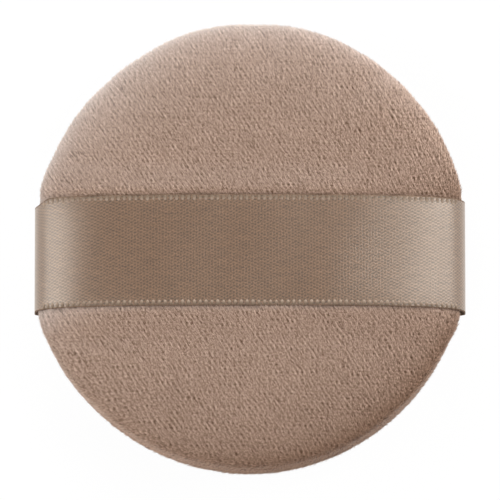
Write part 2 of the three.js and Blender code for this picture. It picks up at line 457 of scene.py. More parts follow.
def strapGap(points):
    # clear height between a point on the back and the ribbon's underside
    line = strapMiddle(700)[0]
    flat = np.stack([points[:, 0], points[:, 2] - seamZ], axis=1)
    across = np.clip((points[:, 1] - strapMid) / strapHalf, -1, 1)
    gap = np.empty(len(flat))
    batch = 4000
    for first in range(0, len(flat), batch):
        part = slice(first, first + batch)
        away = np.linalg.norm(flat[part][:, None, :] - line[None, :, :], axis=2)
        nearest = away.argmin(axis=1)
        gap[part] = away.min(axis=1) - strapBow(line[nearest, 1], across[part])
    return gap - strapThick / 2


# Velour covers: each is one sheet from its crown over the rim to its seam allowance, swollen by cloth
# simulation over the filling and then given its thickness
swell = {
    "slack": 0.0004,  # how far below its full crown the sheet starts
    "proud": 0.0004,  # how far the back's full crown stands above the CAD solid's
    "timesSize": 8.0,  # the cloth is simulated at this many times its size
    "frames": 18,
    "pressure": 4.0,
    "cap": 0.0022,  # the farthest that a point may move
}

packed = {
    "backCrown": 0.0028,  # depths of the close pile that is built up on the ground cloth
    "faceCrown": 0.0006,
    "rim": 0.0001,
    "underRibbon": 0.0002,  # kept free below the ribbon for the tufts
    "shoulder": 0.0003,  # width over which the pile rises again beside the ribbon
    "bank": 0.00008,  # how far the pile along the ribbon stands above the ribbon's underside
    "bankReach": 0.006,
    "fill": 0.95,  # how much of the groove along the seam the pile fills
}


def coverProfile(crown, flat, fullness):
    foot = seamGap + pad["rimRoll"]
    power = 2 / fullness
    line = [(0.0, crown)]
    for step in range(1, 241):
        turn = math.pi / 2 * step / 240
        line.append(
            (
                flat + (puffRadius - flat) * math.sin(turn) ** power,
                foot + (crown - foot) * max(math.cos(turn), 0) ** power,
            )
        )
    inner = puffRadius - pad["rimRoll"]
    for step in range(1, 25):
        turn = math.pi / 2 * step / 24
        line.append((inner + pad["rimRoll"] * math.cos(turn), foot - pad["rimRoll"] * math.sin(turn)))
    line.append((inner - pad["allowance"], seamGap))
    return evenSteps(line, pad["ringsDown"])[0]


def coverSheet(crown, flat, side):
    profile = coverProfile(crown, flat, pad["backFullness"] if side > 0 else pad["faceFullness"])
    sewn = coverProfile(crown, flat, pad["tiedFullness"]) if side > 0 else profile
    around = pad["stepsAround"]
    turns = np.arange(around) * 2 * math.pi / around
    toEnds = np.cos(turns) ** 4
    ringStep = np.linalg.norm(profile[1] - profile[0])
    knit = turns + velour["knitTurn"]
    spoke = np.column_stack([np.cos(knit), np.sin(knit), 0 * turns])
    rings = [ringStep * ring * spoke for ring in range(1, len(profile))]
    cloth = np.concatenate([np.zeros((1, 3))] + rings)  # the sheet's places when it is unrolled
    points = [np.array([[0, 0, profile[0][1]]])]
    for free, tied in zip(profile[1:], sewn[1:]):
        radius = free[0] + (tied[0] - free[0]) * toEnds
        height = free[1] + (tied[1] - free[1]) * toEnds
        ring = drawn(np.stack([radius * np.cos(turns), radius * np.sin(turns)], axis=1))
        slot = (pastRibbon(ring) < 0.0004) & (np.abs(ring[:, 0]) > 0.025)
        nearSeam = np.maximum(0, 1 - (height - seamGap) / pad["rimRoll"])
        lift = np.where(slot, pad["slotLift"], 0) * nearSeam
        points.append(np.column_stack([ring, height + lift]))
    points = np.concatenate(points)
    points[:, 2] = seamZ + side * points[:, 2]
    faces = ringFaces(around, len(profile) - 1)
    if side < 0:
        faces = [face[::-1] for face in faces]
    return points, faces, cloth


def heldShare(points):
    # the sheet is held at the rim's turn and where the ribbon is sewn in
    height = np.abs(points[:, 2] - seamZ)
    rim = 1 - smoothStep(height, seamGap + 0.5 * pad["rimRoll"], seamGap + 1.2 * pad["rimRoll"])
    sewn = smoothStep(np.abs(points[:, 0]), 0.033, 0.037) * (pastRibbon(points) < 0)
    return np.maximum(rim, sewn)


def swollen(points, faces, side, crown):
    start = np.abs(points[0, 2] - seamZ)
    cloth = newMesh("swelling", (points - (0, 0, seamZ)) * swell["timesSize"], faces)
    group = cloth.vertex_groups.new(name="held")
    for index, share in enumerate(heldShare(points)):
        if share > 0:
            group.add([index], float(share), "REPLACE")
    modifier = cloth.modifiers.new("swelling", "CLOTH")
    settings = modifier.settings
    settings.quality = 6
    settings.tension_stiffness = 12
    settings.compression_stiffness = 12
    settings.shear_stiffness = 4
    settings.bending_stiffness = 0.8
    settings.use_pressure = True
    settings.uniform_pressure_force = swell["pressure"]
    settings.vertex_group_mass = "held"
    settings.effector_weights.gravity = 0
    modifier.collision_settings.use_collision = False
    modifier.point_cache.frame_start = 1
    modifier.point_cache.frame_end = swell["frames"]
    for number in range(1, swell["frames"] + 1):
        bpy.context.scene.frame_set(number)
    shown = cloth.evaluated_get(bpy.context.evaluated_depsgraph_get())
    moves = pointsOf(shown.data) / swell["timesSize"] + (0, 0, seamZ) - points
    moves[:, :2] *= smoothStep(np.hypot(points[:, 0], points[:, 1]), 0.003, 0.01)[:, None]
    bpy.data.objects.remove(cloth)
    bpy.context.scene.frame_set(1)
    rise = side * moves[0, 2]
    print("swelling: the crown rose", round(rise * 1000, 2), "mm")
    gain = np.clip((crown - start) / max(rise, 1e-6), 0, 4)
    length = np.linalg.norm(moves, axis=1) * gain
    gain = gain * np.minimum(1, swell["cap"] / np.maximum(length, 1e-9))
    return points + moves * np.broadcast_to(gain, length.shape)[:, None]


def behindEnds(points, normals, spare):
    # room for pile behind the ribbon's sewn ends, which it doesn't push past
    room = np.maximum(strapReach - spare - np.abs(points[:, 0]), 0)
    room = room / np.maximum(np.abs(normals[:, 0]), 0.2)
    beside = 1 - smoothStep(pastRibbon(points), -0.0004, 0.0008)
    return np.where(np.abs(points[:, 0]) > 0.03, room + (1 - beside), 1.0)


def grooveDepth(points, normals, side):
    # pile that fills the groove where the two covers roll in to their seam
    inward = np.maximum(-side * normals[:, 2], 0.0)
    outward = np.maximum(np.hypot(normals[:, 0], normals[:, 1]), 0.1)
    clear = np.maximum(np.abs(points[:, 2] - seamZ) - seamGap, 0)
    filled = packed["fill"] * clear / np.maximum(inward, 0.05)
    depth = np.minimum(pad["rimRoll"] * (1 - outward) / outward, filled)
    outside = np.hypot(points[:, 0], points[:, 1]) > puffRadius - pad["rimRoll"]
    shown = smoothStep(inward, 0.0, 0.2) * outside
    return depth * shown * smoothStep(pastRibbon(points), 0.0002, 0.002)


def packedPile(points, normals, side):
    # depth of the close pile on the ground cloth, pressed down under the ribbon and on the table
    height = np.abs(points[:, 2] - seamZ)
    upright = np.maximum(side * normals[:, 2], 0)
    crown = packed["backCrown"] if side > 0 else packed["faceCrown"]
    depth = packed["rim"] + (crown - packed["rim"]) * smoothStep(upright, 0.25, 0.9)
    depth = depth * smoothStep(height, seamGap + 0.0001, seamGap + 0.0012)
    depth = np.maximum(depth, grooveDepth(points, normals, side))
    depth = np.minimum(depth, behindEnds(points, normals, 0.0004))
    if side > 0:
        past, gap = pastRibbon(points), strapGap(points)
        beside = (1 - smoothStep(past, 0, packed["bankReach"])) * smoothStep(height, 0.004, 0.008)
        depth = depth + (gap + packed["bank"] - depth) * beside
        under = 1 - smoothStep(past, 0, packed["shoulder"])
        room = np.maximum(gap - packed["underRibbon"], 0)
        return np.minimum(depth, room * under + depth * (1 - under))
    down = np.maximum(-normals[:, 2], 0.15)
    return np.minimum(depth, np.maximum(points[:, 2] - pad["restLift"], 0) / down)


def makeCover(name, node, side, crown, flat, finish):
    points, faces, cloth = coverSheet(crown - swell["slack"], flat, side)
    points = swollen(points, faces, side, crown)
    if side < 0:
        points[:, 2] = np.maximum(points[:, 2], pad["restLift"])
    sheet = newMesh(name + "_sheet", points, faces)
    addAttribute(sheet.data, "clothPlace", cloth)
    finer = sheet.modifiers.new("finer", "SUBSURF")
    finer.levels = finer.render_levels = 1
    sheet = plainMesh(sheet, name + "_sheet")
    points, normals = pointsOf(sheet.data), normalsOf(sheet.data)
    middle = 1 - smoothStep(np.hypot(points[:, 0], points[:, 1]), 0.003, 0.008)
    normals += (np.array([0.0, 0.0, side]) - normals) * middle[:, None]
    points += normals * packedPile(points, normals, side)[:, None]
    sheet.data.vertices.foreach_set("co", points.astype(np.float32).ravel())
    sheet.data.update()
    cover = placeObject(name, sheet.data.copy())
    cover.data.materials.append(finish)
    # how far the cloth faces along the nap's way, which sets the painted sheen and painted shade
    addAttribute(cover.data, "napLean", normalsOf(sheet.data) @ napWay)
    wall = cover.modifiers.new("wall", "SOLIDIFY")
    wall.thickness = pad["velour"]
    wall.offset = -1
    cover = plainMesh(cover, name)
    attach(cover, "puff")
    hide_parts(node)
    return sheet


# Pile: short tapered tufts that lean with the nap, in two pieces on each cover
pile = {
    "height": 0.0004,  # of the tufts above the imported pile
    "rimHeight": 0.00038,
    "tuftWidth": 0.0002,
    "tuftLength": 0.00085,
    "perSquareMetre": 40.0e6,  # before the tufts that are too near to others are taken out
    "spacing": 0.000225,
    "underRibbon": 0.35,  # share of the tufts that are set under the ribbon
    "stray": 0.25,  # how far single tufts and whole patches lean off the nap
    "swirl": 0.18,
    "swirlSize": 0.02,
    "sizes": (0.75, 1.2),
    "lift": (0.25, 0.65),  # rise of a tuft for its length along the cloth
    "ownNormal": 0.3,  # how far a tuft is shaded by its own faces and not by the cloth under it
    "seed": 11,
}


def makePileTree():
    tree, given, result = newGroup(
        "velourPile",
        "GeometryNodeTree",
        [
            ("Ground", "NodeSocketGeometry", None),
            ("Tufts Per Square Metre", "NodeSocketFloat", pile["perSquareMetre"]),
            ("Tuft Spacing", "NodeSocketFloat", pile["spacing"]),
            ("Tuft Width", "NodeSocketFloat", pile["tuftWidth"]),
            ("Tuft Length", "NodeSocketFloat", pile["tuftLength"]),
            ("Nap", "NodeSocketVector", (0, 1, 0)),
            ("Stray", "NodeSocketFloat", pile["stray"]),
            ("Swirl", "NodeSocketFloat", pile["swirl"]),
            ("Swirl Size", "NodeSocketFloat", pile["swirlSize"]),
            ("Least Lift", "NodeSocketFloat", pile["lift"][0]),
            ("Most Lift", "NodeSocketFloat", pile["lift"][1]),
            ("Seed", "NodeSocketInt", pile["seed"]),
            ("Finish", "NodeSocketMaterial", None),
        ],
        [("Pile", "NodeSocketGeometry")],
    )

    def randomValue(kind, low, high, shift):
        node = addNode(tree, "FunctionNodeRandomValue", data_type=kind)
        first = 0 if kind == "FLOAT_VECTOR" else 2
        for place, value in ((first, low), (first + 1, high)):
            if isinstance(value, bpy.types.NodeSocket):
                tree.links.new(value, node.inputs[place])
            else:
                node.inputs[place].default_value = value
        tree.links.new(addMath(tree, "ADD", given.outputs["Seed"], shift), node.inputs["Seed"])
        return node.outputs[0 if kind == "FLOAT_VECTOR" else 1]

    def readFloat(name):
        return addNode(tree, "GeometryNodeInputNamedAttribute", {"Name": name}, data_type="FLOAT").outputs[0]

    scatter = addNode(
        tree,
        "GeometryNodeDistributePointsOnFaces",
        {
            "Mesh": given.outputs["Ground"],
            "Distance Min": given.outputs["Tuft Spacing"],
            "Density Max": given.outputs["Tufts Per Square Metre"],
            "Density Factor": readFloat("pileCover"),
            "Seed": given.outputs["Seed"],
        },
        distribute_method="POISSON",
    )
    rooted = addNode(
        tree,
        "GeometryNodeStoreNamedAttribute",
        {"Geometry": scatter.outputs["Points"], "Name": "clothNormal", "Value": scatter.outputs["Normal"]},
        data_type="FLOAT_VECTOR",
        domain="POINT",
    )
    normal = addNode(
        tree, "GeometryNodeInputNamedAttribute", {"Name": "clothNormal"}, data_type="FLOAT_VECTOR"
    ).outputs[0]
    place = addNode(tree, "GeometryNodeInputPosition").outputs[0]
    swirlScale = addMath(tree, "DIVIDE", 1.0, given.outputs["Swirl Size"])
    swirl = addNoise(tree, place, swirlScale, 1.0)
    swirl = addVector(tree, "SUBTRACT", swirl.outputs["Color"], (0.5, 0.5, 0.5))
    swirl = addScale(tree, swirl, given.outputs["Swirl"])
    stray = randomValue("FLOAT_VECTOR", (-1, -1, -1), (1, 1, 1), 1.0)
    stray = addScale(tree, stray, given.outputs["Stray"])
    lean = addVector(tree, "ADD", given.outputs["Nap"], addVector(tree, "ADD", swirl, stray))
    outward = addScale(tree, normal, addVector(tree, "DOT_PRODUCT", lean, normal))
    lean = addVector(tree, "NORMALIZE", addVector(tree, "SUBTRACT", lean, outward))
    lift = randomValue("FLOAT", given.outputs["Least Lift"], given.outputs["Most Lift"], 2.0)
    axis = addVector(tree, "ADD", lean, addScale(tree, normal, lift))
    turned = addNode(tree, "FunctionNodeAlignRotationToVector", {"Vector": axis}, axis="Z")
    roll = addNode(
        tree,
        "FunctionNodeAxisAngleToRotation",
        {"Axis": (0, 0, 1), "Angle": randomValue("FLOAT", 0.0, 2 * math.pi, 3.0)},
    )
    turned = addNode(
        tree,
        "FunctionNodeRotateRotation",
        {"Rotation": turned.outputs[0], "Rotate By": roll.outputs[0]},
        rotation_space="LOCAL",
    )
    tuft = addNode(
        tree,
        "GeometryNodeMeshCone",
        {
            "Vertices": 3,
            "Side Segments": 1,
            "Radius Top": 0.0,
            "Radius Bottom": addMath(tree, "MULTIPLY", given.outputs["Tuft Width"], 0.5),
            "Depth": given.outputs["Tuft Length"],
        },
        fill_type="NGON",
    )
    height = addNode(tree, "ShaderNodeSeparateXYZ", {0: place}).outputs["Z"]
    tuft = addNode(
        tree,
        "GeometryNodeStoreNamedAttribute",
        {
            "Geometry": tuft.outputs["Mesh"],
            "Name": "tuftTip",
            "Value": addMath(tree, "DIVIDE", height, given.outputs["Tuft Length"]),
        },
        data_type="FLOAT",
        domain="POINT",
    )
    size = addMath(tree, "MULTIPLY", readFloat("pileShare"), randomValue("FLOAT", *pile["sizes"], 4.0))
    broad = addMath(tree, "ADD", 0.55, addMath(tree, "MULTIPLY", size, 0.45))
    sizes = addNode(tree, "ShaderNodeCombineXYZ", {"X": broad, "Y": broad, "Z": size})
    spread = addNode(
        tree,
        "GeometryNodeInstanceOnPoints",
        {
            "Points": rooted.outputs[0],
            "Instance": tuft.outputs[0],
            "Rotation": turned.outputs[0],
            "Scale": sizes.outputs[0],
        },
    )
    toned = addNode(
        tree,
        "GeometryNodeStoreNamedAttribute",
        {"Geometry": spread.outputs[0], "Name": "tuftTone", "Value": randomValue("FLOAT", 0.0, 1.0, 5.0)},
        data_type="FLOAT",
        domain="INSTANCE",
    )
    real = addNode(tree, "GeometryNodeRealizeInstances", {"Geometry": toned.outputs[0]})
    soft = addNode(tree, "GeometryNodeSetShadeSmooth", {"Geometry": real.outputs[0]})
    done = addNode(
        tree, "GeometryNodeSetMaterial", {"Geometry": soft.outputs[0], "Material": given.outputs["Finish"]}
    )
    tree.links.new(done.outputs[0], result.inputs["Pile"])
    return tree


def setInputs(modifier, values):
    for item in modifier.node_group.interface.items_tree:
        if item.item_type == "SOCKET" and item.in_out == "INPUT" and item.name in values:
            modifier[item.identifier] = values[item.name]


pileTree = makePileTree()


def makePile(name, sheet, side, finish):
    mesh = sheet.data
    points, normals = pointsOf(mesh), normalsOf(mesh)
    height = np.abs(points[:, 2] - seamZ)
    upright = smoothStep(np.abs(normals[:, 2]), 0.2, 0.8)
    tall = pile["rimHeight"] + (pile["height"] - pile["rimHeight"]) * upright
    tall = np.minimum(tall, behindEnds(points, normals, 0.0001))
    cover = np.ones(len(points))
    if side > 0:
        beside = 1 - smoothStep(pastRibbon(points), 0.0, 0.0004)
        room = np.maximum(strapGap(points) - 0.00015, 0.0001)
        tall = np.minimum(tall, room * beside + tall * (1 - beside))
        cover = np.where(pastRibbon(points) < -0.001, pile["underRibbon"], cover)
    else:
        down = np.maximum(-normals[:, 2], 0.15)
        tall = np.minimum(tall, np.maximum(points[:, 2] - 0.00008, 0.0001) / down)
    rise = sum(pile["lift"]) / 2
    addAttribute(mesh, "pileShare", tall * math.hypot(1, rise) / rise / pile["tuftLength"])
    reach = np.hypot(points[:, 0], points[:, 1])
    inside = (height < seamGap + 0.0006) & (reach < puffRadius - 0.5 * pad["rimRoll"])
    cover = np.where(inside, 0.0, cover)
    for part, half in (("far", points[:, 1] > strapMid), ("near", points[:, 1] <= strapMid)):
        ground = placeObject(name + "_ground", mesh.copy())
        addAttribute(ground.data, "pileCover", np.where(half, cover, 0.0))
        modifier = ground.modifiers.new("pile", "NODES")
        modifier.node_group = pileTree
        seed = pile["seed"] + (0 if side > 0 else 40) + (0 if part == "far" else 20)
        setInputs(modifier, {"Nap": Vector(napWay), "Seed": seed, "Finish": finish})
        made = plainMesh(ground, name + "_" + part)
        softenTufts(made.data)
        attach(made, "puff")
        print(made.name, "has", len(made.data.polygons), "faces")
    bpy.data.objects.remove(sheet)


def softenTufts(mesh):
    # tufts take most of their shading from the cloth that they stand on, as close pile does
    ground = np.empty(len(mesh.vertices) * 3, np.float32)
    mesh.attributes["clothNormal"].data.foreach_get("vector", ground)
    ground = ground.reshape(-1, 3)
    # how far the cloth under each tuft faces along the nap's way, for the painted sheen and painted shade
    addAttribute(mesh, "napLean", ground @ napWay)
    mixed = ground * (1 - pile["ownNormal"]) + normalsOf(mesh) * pile["ownNormal"]
    mixed /= np.maximum(np.linalg.norm(mixed, axis=1), 1e-6)[:, None]
    mesh.normals_split_custom_set_from_vertices([tuple(n) for n in mixed])
    mesh.attributes.remove(mesh.attributes["clothNormal"])


backSheet = makeCover(
    "back_velour_cover", "back_cover", 1, backCrown + swell["proud"], 0.0, backGroundFinish
)
faceSheet = makeCover(
    "face_velour_cover", "face_cover", -1, faceCrown - pad["restLift"], pad["restRadius"], faceGroundFinish
)
print("covers: swollen over the filling")
makePile("back_pile", backSheet, 1, backPileFinish)
makePile("face_pile", faceSheet, -1, facePileFinish)
print("pile: tufts set on both covers")


# Satin of the ribbon
satin = {
    "light": (0.212, 0.12, 0.07, 1),
    "dark": (0.03, 0.013, 0.005, 1),
    "edge": (0.2, 0.135, 0.095, 1),  # painted shade of the dark line where the ribbon's edges meet the pile, on its outermost strip and side walls
    "edgeShadeRoot": (0.08, 0.049, 0.033, 1),
    # the beads' colour runs from beadRoot at the edge to bead at their inner ends, a painted highlight
    "bead": (0.26, 0.195, 0.145, 1),
    "beadRoot": (0.15, 0.105, 0.072, 1),
    "columnPitch": 0.00055,
    "rowPitch": 0.00057,
    "upright": ((1.0, 0.0, 0.8),),  # turns per column, turns per row and share of each wave
    "slanted": ((0.6, -1.0, 1.0), (0.4, 1.0, 0.9)),
    "contrast": -0.26,  # the floats are light and the points where they bind are dark
    "middle": 0.0528,  # along the ribbon
    "turnFrom": 0.02,  # past this the ribbon turns down, and its weave shows more as a diagonal
    "turnTo": 0.03,
    "uprightChange": -0.75,
    "slantedChange": 0.4,
    "wander": 0.6,
    "wanderScale": 700.0,
    "fibreScale": 3600.0,
    "fibreShare": 2.2,
    "fibreShift": -0.69,
    "slubScale": (300.0, 1900.0, 1.0),
    "weaveShare": 0.75,  # of the colour, and the slubs have the rest
    "bumpDepth": 0.00006,
}


def makeTwillGroup():
    # floats of a satin weave: each row's start two fifths of the way on from the last row's
    tree, given, result = newGroup(
        "satinTwill",
        "ShaderNodeTree",
        [
            ("Place", "NodeSocketVector", (0, 0, 0)),
            ("Column Pitch", "NodeSocketFloat", satin["columnPitch"]),
            ("Row Pitch", "NodeSocketFloat", satin["rowPitch"]),
            ("Contrast", "NodeSocketFloat", satin["contrast"]),
        ],
        [("Twill", "NodeSocketFloat"), ("Slub", "NodeSocketFloat")],
    )
    place = given.outputs["Place"]
    parts = addNode(tree, "ShaderNodeSeparateXYZ", {0: place})
    wander = addNoise(tree, place, satin["wanderScale"], 1.0)
    wander = addMath(tree, "MULTIPLY", wander.outputs["Fac"], satin["wander"])
    column = addMath(tree, "DIVIDE", parts.outputs["X"], given.outputs["Column Pitch"])
    column = addMath(tree, "ADD", column, wander)
    row = addMath(tree, "DIVIDE", parts.outputs["Y"], given.outputs["Row Pitch"])
    off = addMath(tree, "ABSOLUTE", addMath(tree, "SUBTRACT", parts.outputs["X"], satin["middle"]))
    turned = mapRange(tree, off, satin["turnFrom"], satin["turnTo"])
    twill = 0.0
    for waves, change in (("upright", "uprightChange"), ("slanted", "slantedChange")):
        share = addMath(tree, "MULTIPLY_ADD", turned, satin[change], 1.0)
        twill = addMath(tree, "MULTIPLY_ADD", addWaves(tree, column, row, satin[waves]), share, twill)
    fibre = addNoise(tree, place, satin["fibreScale"], 1.0)
    fibre = addMath(
        tree, "MULTIPLY_ADD", fibre.outputs["Fac"], satin["fibreShare"], satin["fibreShift"]
    )
    twill = addMath(tree, "MULTIPLY_ADD", twill, given.outputs["Contrast"], fibre, clamp=True)
    slub = addNoise(tree, addVector(tree, "MULTIPLY", place, satin["slubScale"]), 1.0, 2.0)
    slub = addMath(tree, "MULTIPLY_ADD", slub.outputs["Fac"], 2.0, -0.5, clamp=True)
    tree.links.new(twill, result.inputs["Twill"])
    tree.links.new(slub, result.inputs["Slub"])
    return tree


twillGroup = makeTwillGroup()


def clothPlace(tree):
    return addNode(tree, "ShaderNodeUVMap", uv_map="cloth").outputs[0]


def makeSatin():
    material, tree, shader = newMaterial(
        "satin ribbon",
        **{
            "IOR": 1.6,
            "Specular IOR Level": 1.0,
            "Specular Tint": (0.98, 0.925, 0.83, 1),
            "Sheen Weight": 0.3,
            "Sheen Roughness": 0.45,
            "Sheen Tint": (0.92, 0.81, 0.69, 1),
        },
    )
    twill = addNode(tree, "ShaderNodeGroup", {"Place": clothPlace(tree)}, node_tree=twillGroup)
    share = addMath(tree, "MULTIPLY", twill.outputs["Slub"], 1 - satin["weaveShare"])
    share = addMath(tree, "MULTIPLY_ADD", twill.outputs["Twill"], satin["weaveShare"], share)
    tree.links.new(mixColor(tree, share, satin["dark"], satin["light"]), shader.inputs["Base Color"])
    tree.links.new(mapRange(tree, share, 0.0, 1.0, 0.4, 0.3), shader.inputs["Roughness"])
    bump = addBump(tree, twill.outputs["Twill"], 0.35, satin["bumpDepth"])
    tree.links.new(bump, shader.inputs["Normal"])
    return material


# the ribbon's outermost strip and side walls: matt, and darkened as painted shade of the line along its edges
def makeEdgeShadeFinish():
    dull = {"Roughness": 0.9, "Specular IOR Level": 0.1}
    material, tree, shader = newMaterial("satin edge shade", **dull)
    twill = addNode(tree, "ShaderNodeGroup", {"Place": clothPlace(tree)}, node_tree=twillGroup)
    color = mixColor(tree, twill.outputs["Slub"], satin["edgeShadeRoot"], satin["edge"])
    tree.links.new(color, shader.inputs["Base Color"])
    return material


def makeSelvedgeHighlightFinish():
    # loops of thread, coloured lighter towards their inner ends as a painted highlight where they turn back
    soft = {"Roughness": 0.55, "Specular IOR Level": 0.25}
    material, tree, shader = newMaterial("satin selvedge", **soft)
    inward = addNode(tree, "ShaderNodeSeparateXYZ", {0: clothPlace(tree)}).outputs["Y"]
    color = mixColor(tree, mapRange(tree, inward, 0.0004, 0.0009), satin["beadRoot"], satin["bead"])
    tree.links.new(color, shader.inputs["Base Color"])
    return material


satinFinish = makeSatin()
edgeShadeFinish = makeEdgeShadeFinish()
selvedgeHighlightFinish = makeSelvedgeHighlightFinish()

ribbon = {
    "thick": 0.00032,
    "edgeWidth": 0.0002,
    "ripple": 0.00005,  # height of its two slight waves
    "rippleTurns": (190, 410),  # radians per metre along it
    "creaseAt": 0.0338,  # along +X
    "creaseDepth": 0.00012,
    "creaseWidth": 0.0007,
    "drawnCorner": 0.0011,  # the corner at -X, +Y is pulled in where it is sewn
    "stepsAlong": 260,
    "stepsAcross": 30,
    "beadPitch": 0.00103,
    "beadSize": (0.00066, 0.00105, 0.00036),
    "beadInset": 0.00058,
    "beadReach": 0.0368,
    "beadLow": 0.0045,  # height over the seam at which the beads end
    "beadVary": (0.86, 1.1),
}


def ribbonPlace(line, along, across):
    # points of the ribbon's middle surface: across runs from -1 to 1
    slope = np.gradient(line, axis=0)
    slope /= np.linalg.norm(slope, axis=1)[:, None]
    upward = np.stack([-slope[:, 1], slope[:, 0]], axis=1)
    high = smoothStep(line[:, 1], strapFoot, strapCrest)
    middle = along - along[-1] / 2
    corner = smoothStep(-line[:, 0], 0.0355, strapReach) * (line[:, 1] > 0.0005)
    width = np.full_like(middle, strapHalf)
    width = np.where(across > 0, width - ribbon["drawnCorner"] * corner, width)
    offset = -strapBow(line[:, 1], across)
    broad, narrow = ribbon["rippleTurns"]
    offset = offset + ribbon["ripple"] * high * np.sin(middle * broad + 2.1 * across)
    offset = offset + ribbon["ripple"] * 0.8 * high * np.sin(middle * narrow - 1.3 * across + 1.0)
    crease = (line[:, 0] - ribbon["creaseAt"] - 0.0006 * across) / ribbon["creaseWidth"]
    offset = offset - ribbon["creaseDepth"] * np.exp(-(crease**2)) * (line[:, 1] > strapFoot)
    flat = line + upward * offset[:, None]
    return np.stack([flat[:, 0], strapMid + across * width, seamZ + flat[:, 1]], axis=1), upward


def makeRibbon():
    line, along = strapMiddle(ribbon["stepsAlong"])
    inner = 1 - ribbon["edgeWidth"] / strapHalf
    shares = np.concatenate([[-1], np.linspace(-inner, inner, ribbon["stepsAcross"]), [1]])
    steps, wide = ribbon["stepsAlong"], len(shares)
    top, under, texture = [], [], []
    for share in shares:
        middle, upward = ribbonPlace(line, along, share)
        shift = np.stack([upward[:, 0], np.zeros(steps), upward[:, 1]], axis=1) * ribbon["thick"] / 2
        top.append(middle + shift)
        under.append(middle - shift)
        texture.append(np.stack([along, np.full(steps, share * strapHalf)], axis=1))
    points = np.concatenate(top + under)
    texture = np.concatenate(texture + texture)
    below = wide * steps
    faces = []
    for k in range(wide - 1):
        for i in range(steps - 1):
            a, b = k * steps + i, (k + 1) * steps + i
            faces.append((a, a + 1, b + 1, b))
            faces.append((below + b, below + b + 1, below + a + 1, below + a))
    for i in range(steps - 1):
        last = (wide - 1) * steps + i
        faces.append((i + 1, i, below + i, below + i + 1))
        faces.append((last, last + 1, below + last + 1, below + last))
    for k in range(wide - 1):
        a, b = k * steps, (k + 1) * steps
        faces.append((a, b, below + b, below + a))
        a, b = a + steps - 1, b + steps - 1
        faces.append((b, a, below + a, below + b))
    made = newMesh("satin_ribbon", points, faces)
    setCloth(made.data, texture)
    made.data.materials.append(satinFinish)
    made.data.materials.append(edgeShadeFinish)
    column = 2 * (steps - 1)
    dull = np.ones(len(faces), np.int32)  # the outermost columns and the side walls, which take the painted edge shade
    dull[column : (wide - 2) * column] = 0
    made.data.polygons.foreach_set("material_index", dull)
    return made, along[-1]


def makeBeadTree():
    tree, given, result = newGroup(
        "selvedgeBeads",
        "GeometryNodeTree",
        [
            ("Edges", "NodeSocketGeometry", None),
            ("Pitch", "NodeSocketFloat", ribbon["beadPitch"]),
            ("Bead Size", "NodeSocketVector", ribbon["beadSize"]),
            ("Seed", "NodeSocketInt", 5),
            ("Finish", "NodeSocketMaterial", None),
        ],
        [("Beads", "NodeSocketGeometry")],
    )
    curve = addNode(tree, "GeometryNodeMeshToCurve", {"Mesh": given.outputs["Edges"]})
    even = addNode(
        tree,
        "GeometryNodeResampleCurve",
        {"Curve": curve.outputs[0], "Length": given.outputs["Pitch"]},
        mode="LENGTH",
    )
    bead = addNode(tree, "GeometryNodeMeshUVSphere", {"Segments": 8, "Rings": 5, "Radius": 0.5})
    tangent = addNode(tree, "GeometryNodeInputTangent").outputs[0]
    up = addNode(
        tree, "GeometryNodeInputNamedAttribute", {"Name": "upward"}, data_type="FLOAT_VECTOR"
    ).outputs[0]
    turned = addNode(tree, "FunctionNodeAlignRotationToVector", {"Vector": tangent}, axis="X")
    turned = addNode(
        tree,
        "FunctionNodeAlignRotationToVector",
        {"Rotation": turned.outputs[0], "Vector": up},
        axis="Z",
        pivot_axis="X",
    )
    vary = addNode(tree, "FunctionNodeRandomValue", data_type="FLOAT")
    vary.inputs[2].default_value, vary.inputs[3].default_value = ribbon["beadVary"]
    tree.links.new(given.outputs["Seed"], vary.inputs["Seed"])
    size = addScale(tree, given.outputs["Bead Size"], vary.outputs[1])
    spread = addNode(
        tree,
        "GeometryNodeInstanceOnPoints",
        {
            "Points": even.outputs[0],
            "Instance": bead.outputs["Mesh"],
            "Rotation": turned.outputs[0],
            "Scale": size,
        },
    )
    real = addNode(tree, "GeometryNodeRealizeInstances", {"Geometry": spread.outputs[0]})
    soft = addNode(tree, "GeometryNodeSetShadeSmooth", {"Geometry": real.outputs[0]})
    done = addNode(
        tree, "GeometryNodeSetMaterial", {"Geometry": soft.outputs[0], "Material": given.outputs["Finish"]}
    )
    tree.links.new(done.outputs[0], result.inputs["Beads"])
    return tree


def makeSelvedge():
    line, along = strapMiddle(900)
    shown = (np.abs(line[:, 0]) < ribbon["beadReach"]) & (line[:, 1] > ribbon["beadLow"])
    points, upwards, edges = [], [], []
    for edge in (-1, 1):
        share = edge * (1 - ribbon["beadInset"] / strapHalf)
        place, upward = ribbonPlace(line, along, share)
        raised = np.stack([upward[:, 0], np.zeros(len(line)), upward[:, 1]], axis=1)
        first = sum(len(p) for p in points)
        points.append((place + raised * ribbon["thick"] / 2)[shown])
        upwards.append(raised[shown])
        edges += [(first + i, first + i + 1) for i in range(len(points[-1]) - 1)]
    mesh = bpy.data.meshes.new("selvedge_edges")
    mesh.from_pydata([tuple(p) for p in np.concatenate(points)], edges, [])
    addAttribute(mesh, "upward", np.concatenate(upwards))
    thing = placeObject("selvedge_edges", mesh)
    modifier = thing.modifiers.new("beads", "NODES")
    modifier.node_group = makeBeadTree()
    setInputs(modifier, {"Finish": selvedgeHighlightFinish})
    made = plainMesh(thing, "ribbon_selvedge")
    place = pointsOf(made.data)
    setCloth(made.data, np.stack([place[:, 0], -pastRibbon(place)], axis=1))
    return made


def followStrap(piece):
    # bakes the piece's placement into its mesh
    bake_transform(piece)


